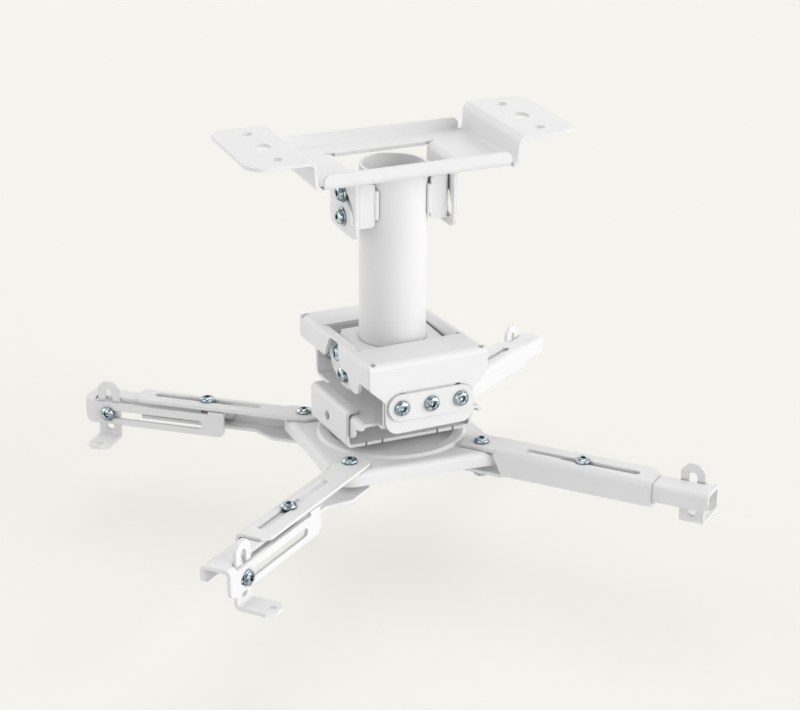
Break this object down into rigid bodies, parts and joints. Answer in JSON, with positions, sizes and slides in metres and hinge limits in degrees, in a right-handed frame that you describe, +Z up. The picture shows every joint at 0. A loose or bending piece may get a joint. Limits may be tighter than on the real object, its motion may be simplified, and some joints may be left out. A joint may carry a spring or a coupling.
{
  "type": "projector ceiling mount",
  "caption": "White folded-steel projector ceiling mount: ceiling plate, short drop tube, tilting head, rail and hub with telescopic arms ending in slotted feet.",
  "frame": {"origin": "centre of the ceiling plate, in the plane of its two ears that lie against the ceiling", "axes": "+Z up into the ceiling, +X along the ceiling plate from one ear to the other, +Y towards the side the tube tilts to"},
  "size_m": [0.4074, 0.3815, 0.283],
  "materials": {
    "powder_coat": "fine white powder coat, satin",
    "zinc_steel": "bright bluish zinc plating"
  },
  "bodies": {
    "plate": {"ceiling_plate": "powder_coat"},
    "tube": {"tube": "powder_coat", "tube_bracket_left": "powder_coat", "tube_bracket_right": "powder_coat", "tube_foot_bracket": "powder_coat", "tilt_screws": "zinc_steel", "tilt_washers": "zinc_steel", "tilt_nuts": "zinc_steel", "pitch_screws": "zinc_steel", "pitch_washers": "zinc_steel", "pitch_nuts": "zinc_steel"},
    "head": {"head_frame": "powder_coat"},
    "roll": {"roll_bracket": "powder_coat", "roll_plate_front": "powder_coat", "roll_plate_back": "powder_coat", "roll_screws": "zinc_steel", "roll_nuts": "zinc_steel"},
    "rail": {"rail_channel": "powder_coat", "swivel_bolt": "zinc_steel", "swivel_washer": "zinc_steel", "swivel_nut": "zinc_steel"},
    "hub": {"hub_plate": "powder_coat", "hub_screws": "zinc_steel", "hub_nuts": "zinc_steel"},
    "arm_left": {"outer_arm_left": "powder_coat"},
    "slide_left": {"inner_arm_left": "powder_coat", "arm_lock_screw_left": "zinc_steel", "arm_lock_nut_left": "zinc_steel"},
    "toe_left": {"foot_screw_left": "zinc_steel", "foot_nut_left": "zinc_steel"},
    "foot_left": {"foot_left": "powder_coat"},
    "arm_front": {"outer_arm_front": "powder_coat"},
    "slide_front": {"inner_arm_front": "powder_coat", "arm_lock_screw_front": "zinc_steel", "arm_lock_nut_front": "zinc_steel"},
    "toe_front": {"foot_screw_front": "zinc_steel", "foot_nut_front": "zinc_steel"},
    "foot_front": {"foot_front": "powder_coat"},
    "arm_right": {"outer_arm_right": "powder_coat"},
    "slide_right": {"inner_arm_right": "powder_coat", "arm_lock_screw_right": "zinc_steel", "arm_lock_nut_right": "zinc_steel"},
    "toe_right": {"foot_screw_right": "zinc_steel", "foot_nut_right": "zinc_steel"},
    "foot_right": {"foot_right": "powder_coat"},
    "arm_back": {"outer_arm_back": "powder_coat"},
    "slide_back": {"inner_arm_back": "powder_coat", "arm_lock_screw_back": "zinc_steel", "arm_lock_nut_back": "zinc_steel"},
    "toe_back": {"foot_screw_back": "zinc_steel", "foot_nut_back": "zinc_steel"},
    "foot_back": {"foot_back": "powder_coat"}
  },
  "joints": [
    {"name": "plate_tilt", "type": "hinge", "parent": "plate", "child": "tube", "pos_m": [0, 0, -0.0593], "axis": [1, 0, 0], "range_deg": [0, 90]},
    {"name": "head_pitch", "type": "hinge", "parent": "tube", "child": "head", "pos_m": [0, 0, -0.1835], "axis": [0.9998, 0.0209, 0], "range_deg": [-6.52, 13.48]},
    {"name": "head_roll", "type": "hinge", "parent": "head", "child": "roll", "pos_m": [0.00001, -0.00035, -0.18929], "axis": [-0.0209, 0.9979, -0.0607], "range_deg": [-13.87, 12.13]},
    {"name": "rail_slide", "type": "slide", "parent": "roll", "child": "rail", "axis": [-0.0209, 0.9979, -0.0607], "range_m": [-0.013, 0.013]},
    {"name": "hub_swivel", "type": "hinge", "parent": "rail", "child": "hub", "pos_m": [-0.00067, -0.0008, -0.23424], "axis": [0.0139, 0.061, 0.998], "continuous": true},
    {"name": "arm_swing_left", "type": "hinge", "parent": "hub", "child": "arm_left", "pos_m": [-0.05073, 0.0535, -0.23686], "axis": [0.0139, 0.061, 0.998], "range_deg": [-35.95, 24.05]},
    {"name": "arm_extend_left", "type": "slide", "parent": "arm_left", "child": "slide_left", "axis": [-0.75, 0.6607, -0.0299], "range_m": [-0.00635, 0.0415]},
    {"name": "foot_shift_left", "type": "slide", "parent": "slide_left", "child": "toe_left", "axis": [-0.75, 0.6607, -0.0299], "range_m": [-0.00635, 0.0013]},
    {"name": "foot_height_left", "type": "slide", "parent": "toe_left", "child": "foot_left", "axis": [0.0139, 0.061, 0.998], "range_m": [-0.0167, 0.008]},
    {"name": "arm_swing_front", "type": "hinge", "parent": "hub", "child": "arm_front", "pos_m": [-0.05502, -0.05072, -0.23043], "axis": [0.0139, 0.061, 0.998], "range_deg": [-26.25, 33.75]},
    {"name": "arm_extend_front", "type": "slide", "parent": "arm_front", "child": "slide_front", "axis": [-0.7782, -0.6261, 0.0491], "range_m": [-0.008, 0.0354]},
    {"name": "foot_shift_front", "type": "slide", "parent": "slide_front", "child": "toe_front", "axis": [-0.7782, -0.6261, 0.0491], "range_m": [-0.008, 0.0033]},
    {"name": "foot_height_front", "type": "slide", "parent": "toe_front", "child": "foot_front", "axis": [0.0139, 0.061, 0.998], "range_m": [-0.0167, 0.008]},
    {"name": "arm_swing_right", "type": "hinge", "parent": "hub", "child": "arm_right", "pos_m": [0.0494, -0.05509, -0.23162], "axis": [0.0139, 0.061, 0.998], "range_deg": [-25.85, 34.15]},
    {"name": "arm_extend_right", "type": "slide", "parent": "arm_right", "child": "slide_right", "axis": [0.6224, -0.7817, 0.0391], "range_m": [-0.00715, 0.0409]},
    {"name": "foot_shift_right", "type": "slide", "parent": "slide_right", "child": "toe_right", "axis": [0.6224, -0.7817, 0.0391], "range_m": [-0.00715, 0.0003]},
    {"name": "foot_height_right", "type": "slide", "parent": "toe_right", "child": "foot_right", "axis": [0.0139, 0.061, 0.998], "range_m": [-0.0167, 0.008]},
    {"name": "arm_swing_back", "type": "hinge", "parent": "hub", "child": "arm_back", "pos_m": [0.05368, 0.04913, -0.23805], "axis": [0.0139, 0.061, 0.998], "range_deg": [-21.15, 38.85]},
    {"name": "arm_extend_back", "type": "slide", "parent": "arm_back", "child": "slide_back", "axis": [0.8309, 0.5545, -0.0455], "range_m": [-0.0009, 0.0494]},
    {"name": "foot_shift_back", "type": "slide", "parent": "slide_back", "child": "toe_back", "axis": [0.8309, 0.5545, -0.0455], "range_m": [-0.0009, 0.0043]},
    {"name": "foot_height_back", "type": "slide", "parent": "toe_back", "child": "foot_back", "axis": [0.0139, 0.061, 0.998], "range_m": [-0.0167, 0.008]}
  ]
}
